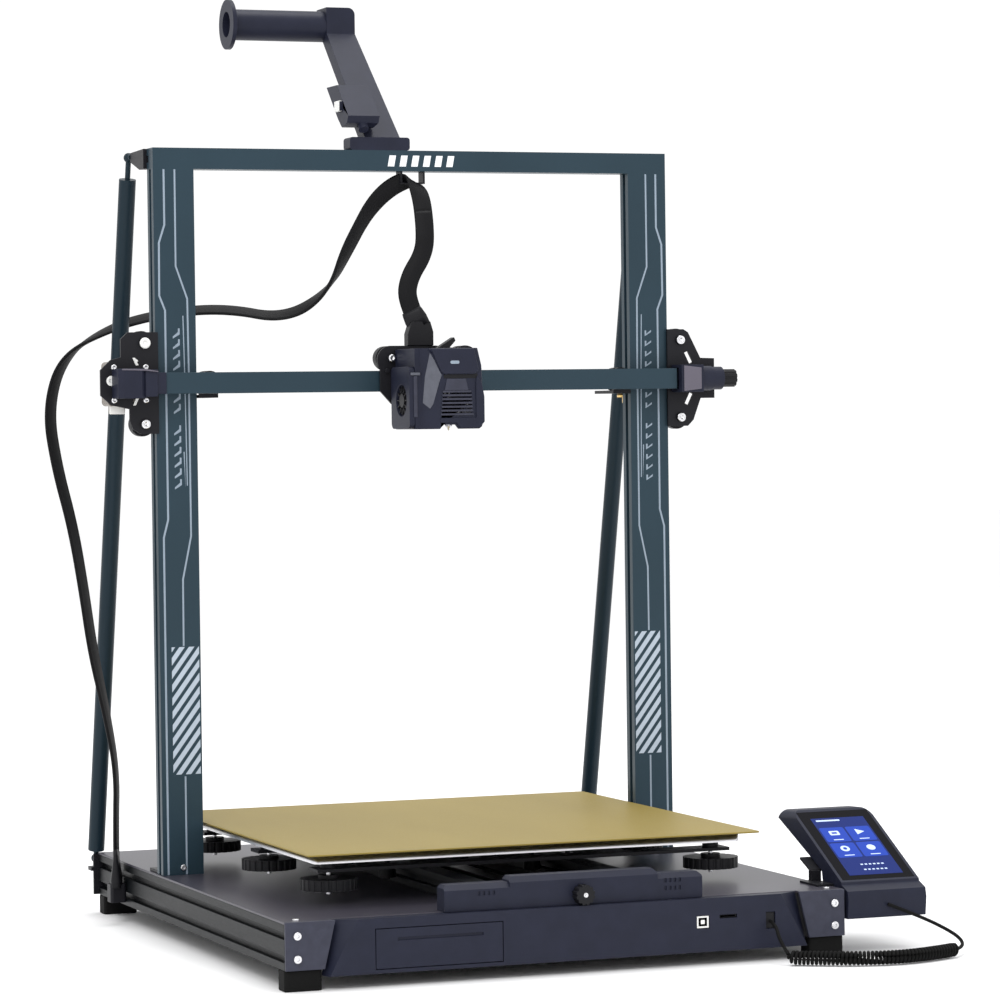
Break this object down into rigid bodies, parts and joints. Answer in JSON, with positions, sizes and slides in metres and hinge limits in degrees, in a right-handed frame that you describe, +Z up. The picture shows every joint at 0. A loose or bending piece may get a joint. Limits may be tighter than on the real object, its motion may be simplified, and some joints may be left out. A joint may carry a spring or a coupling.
{
  "type": "fdm printer",
  "caption": "Open-frame filament printer with a moving heated bed, lifting gantry, sliding print head, spool arm, rear braces, tool drawer and a corded touch screen beside the base",
  "frame": {"origin": "centre of the footprint of the whole object without its cords, on the surface its feet stand on", "axes": "+X to the machine's right seen from the front, where the touch screen is; +Y to the rear; +Z up"},
  "size_m": [0.7049, 0.7086, 0.9055],
  "materials": {
    "blue_alu": "satin anodised blue-grey",
    "dark_alu": "black anodised",
    "black_steel": "black powder coat",
    "navy_plastic": "fine textured",
    "black_plastic": "satin",
    "grey_plastic": "satin",
    "black_rubber": "matt",
    "aluminium": "brushed",
    "steel": "bright",
    "brass": "machined",
    "gold_sheet": "textured PEI on spring steel",
    "screen_glass": "polished",
    "circuit": "soldered board"
  },
  "bodies": {
    "frame": {"base_rails": "dark_alu", "deck_plate": "dark_alu", "base_tray": "black_steel", "end_plates": "navy_plastic", "frame_screws": "steel", "feet": "black_rubber", "front_fascia": "navy_plastic", "ports": "black_plastic", "belt_tensioner": "navy_plastic", "base_motors": "dark_alu", "electronics": "circuit", "bed_belt": "black_rubber", "portal_frame": "blue_alu", "frame_brackets": "black_steel", "braces": "blue_alu", "spool_holder": "navy_plastic", "filament_sensor": "navy_plastic", "screen_bracket": "black_steel", "main_cable": "black_rubber", "head_cable_upper": "black_rubber", "screen_lead": "black_rubber", "screen_coil": "black_rubber", "screen_tail": "black_rubber"},
    "bed": {"bed_carriage": "black_steel", "bed_wheels": "black_plastic", "bed_plate": "aluminium"},
    "sheet": {"print_sheet": "gold_sheet"},
    "gantry": {"x_beam": "blue_alu", "gantry_plates": "black_steel", "gantry_wheels": "black_plastic", "x_motor": "dark_alu", "motor_cover": "navy_plastic", "tension_block": "navy_plastic", "x_belt": "black_rubber", "screw_nuts": "brass"},
    "print_head": {"head_plate": "black_steel", "head_wheels": "black_plastic", "head_shroud": "navy_plastic", "blower_case": "black_plastic", "hotend": "aluminium", "cable_clamp": "black_plastic", "head_cable_lower": "black_rubber"},
    "cooling_rotor": {"blower_rotor": "black_plastic"},
    "heatsink_fan": {"head_fan": "black_plastic"},
    "gantry_pulley": {"x_pulley": "aluminium"},
    "bed_drive_pulley": {"bed_pulley": "aluminium"},
    "screw_left": {"lead_screw_left": "steel"},
    "screw_right": {"lead_screw_right": "steel"},
    "rocker": {"power_rocker": "black_plastic"},
    "drawer": {"tool_drawer": "navy_plastic"},
    "touch_screen": {"screen_case": "navy_plastic", "screen_glass": "screen_glass"},
    "knob_x": {"tension_knob_x": "black_plastic"},
    "knob_y": {"tension_knob_y": "black_plastic"},
    "level_left_front": {"knob_left_front": "black_plastic"},
    "level_left_middle": {"knob_left_middle": "black_plastic"},
    "level_left_rear": {"knob_left_rear": "black_plastic"},
    "level_right_front": {"knob_right_front": "black_plastic"},
    "level_right_middle": {"knob_right_middle": "black_plastic"},
    "level_right_rear": {"knob_right_rear": "black_plastic"}
  },
  "joints": [
    {"name": "gantry_lift", "type": "slide", "parent": "frame", "child": "gantry", "axis": [0, 0, 1], "range_m": [-0.3705, 0.129], "deforming": ["head_cable_upper"]},
    {"name": "bed_travel", "type": "slide", "parent": "frame", "child": "bed", "axis": [0, 1, 0], "range_m": [-0.182, 0.238]},
    {"name": "sheet_lift", "type": "slide", "parent": "bed", "child": "sheet", "axis": [0, 0, 1], "range_m": [0, 0.12]},
    {"name": "head_travel", "type": "slide", "parent": "gantry", "child": "print_head", "axis": [1, 0, 0], "range_m": [-0.195, 0.205], "deforming": ["head_cable_lower"]},
    {"name": "cooling_spin", "type": "hinge", "parent": "print_head", "child": "cooling_rotor", "pos_m": [-0.052, 0.0117, 0.508], "axis": [1, 0, 0], "continuous": true},
    {"name": "fan_spin", "type": "hinge", "parent": "print_head", "child": "heatsink_fan", "pos_m": [-0.01, -0.0193, 0.507], "axis": [0, 1, 0], "continuous": true},
    {"name": "gantry_pulley_turn", "type": "hinge", "parent": "gantry", "child": "gantry_pulley", "pos_m": [-0.3035, 0.0597, 0.527], "axis": [0, 1, 0], "range_deg": [-1800, 1900]},
    {"name": "bed_pulley_turn", "type": "hinge", "parent": "frame", "child": "bed_drive_pulley", "pos_m": [-0.014, 0.2727, 0.064], "axis": [1, 0, 0], "range_deg": [-2200, 1700]},
    {"name": "screw_left_turn", "type": "hinge", "parent": "frame", "child": "screw_left", "pos_m": [-0.247, 0.1052, 0.4], "axis": [0, 0, 1], "range_deg": [-16750, 5860]},
    {"name": "screw_right_turn", "type": "hinge", "parent": "frame", "child": "screw_right", "pos_m": [0.219, 0.1052, 0.4], "axis": [0, 0, 1], "range_deg": [-16750, 5860]},
    {"name": "power_switch", "type": "hinge", "parent": "frame", "child": "rocker", "pos_m": [0.176, 0.3002, 0.0385], "axis": [1, 0, 0], "range_deg": [0, 14]},
    {"name": "drawer_pull", "type": "slide", "parent": "frame", "child": "drawer", "axis": [0, -1, 0], "range_m": [0, 0.12]},
    {"name": "screen_lift", "type": "slide", "parent": "frame", "child": "touch_screen", "axis": [0, 0, 1], "range_m": [0, 0.06]},
    {"name": "x_tension", "type": "hinge", "parent": "gantry", "child": "knob_x", "pos_m": [0.304, 0.0572, 0.527], "axis": [1, 0, 0], "range_deg": [-720, 720]},
    {"name": "y_tension", "type": "hinge", "parent": "frame", "child": "knob_y", "pos_m": [-0.0035, -0.3113, 0.0697], "axis": [0, 1, 0], "range_deg": [-720, 720]},
    {"name": "level_left_front_turn", "type": "hinge", "parent": "bed", "child": "level_left_front", "pos_m": [-0.2, -0.1913, 0.079], "axis": [0, 0, 1], "range_deg": [-720, 720]},
    {"name": "level_left_middle_turn", "type": "hinge", "parent": "bed", "child": "level_left_middle", "pos_m": [-0.2, -0.0153, 0.079], "axis": [0, 0, 1], "range_deg": [-720, 720]},
    {"name": "level_left_rear_turn", "type": "hinge", "parent": "bed", "child": "level_left_rear", "pos_m": [-0.2, 0.1607, 0.079], "axis": [0, 0, 1], "range_deg": [-720, 720]},
    {"name": "level_right_front_turn", "type": "hinge", "parent": "bed", "child": "level_right_front", "pos_m": [0.172, -0.1913, 0.079], "axis": [0, 0, 1], "range_deg": [-720, 720]},
    {"name": "level_right_middle_turn", "type": "hinge", "parent": "bed", "child": "level_right_middle", "pos_m": [0.172, -0.0153, 0.079], "axis": [0, 0, 1], "range_deg": [-720, 720]},
    {"name": "level_right_rear_turn", "type": "hinge", "parent": "bed", "child": "level_right_rear", "pos_m": [0.172, 0.1607, 0.079], "axis": [0, 0, 1], "range_deg": [-720, 720]}
  ],
  "couplings": [
    {"joint": "gantry_pulley_turn", "follows": "head_travel", "rad_per_m": 157.08},
    {"joint": "bed_pulley_turn", "follows": "bed_travel", "rad_per_m": -157.08},
    {"joint": "screw_left_turn", "follows": "gantry_lift", "rad_per_m": 785.4},
    {"joint": "screw_right_turn", "follows": "gantry_lift", "rad_per_m": 785.4}
  ]
}
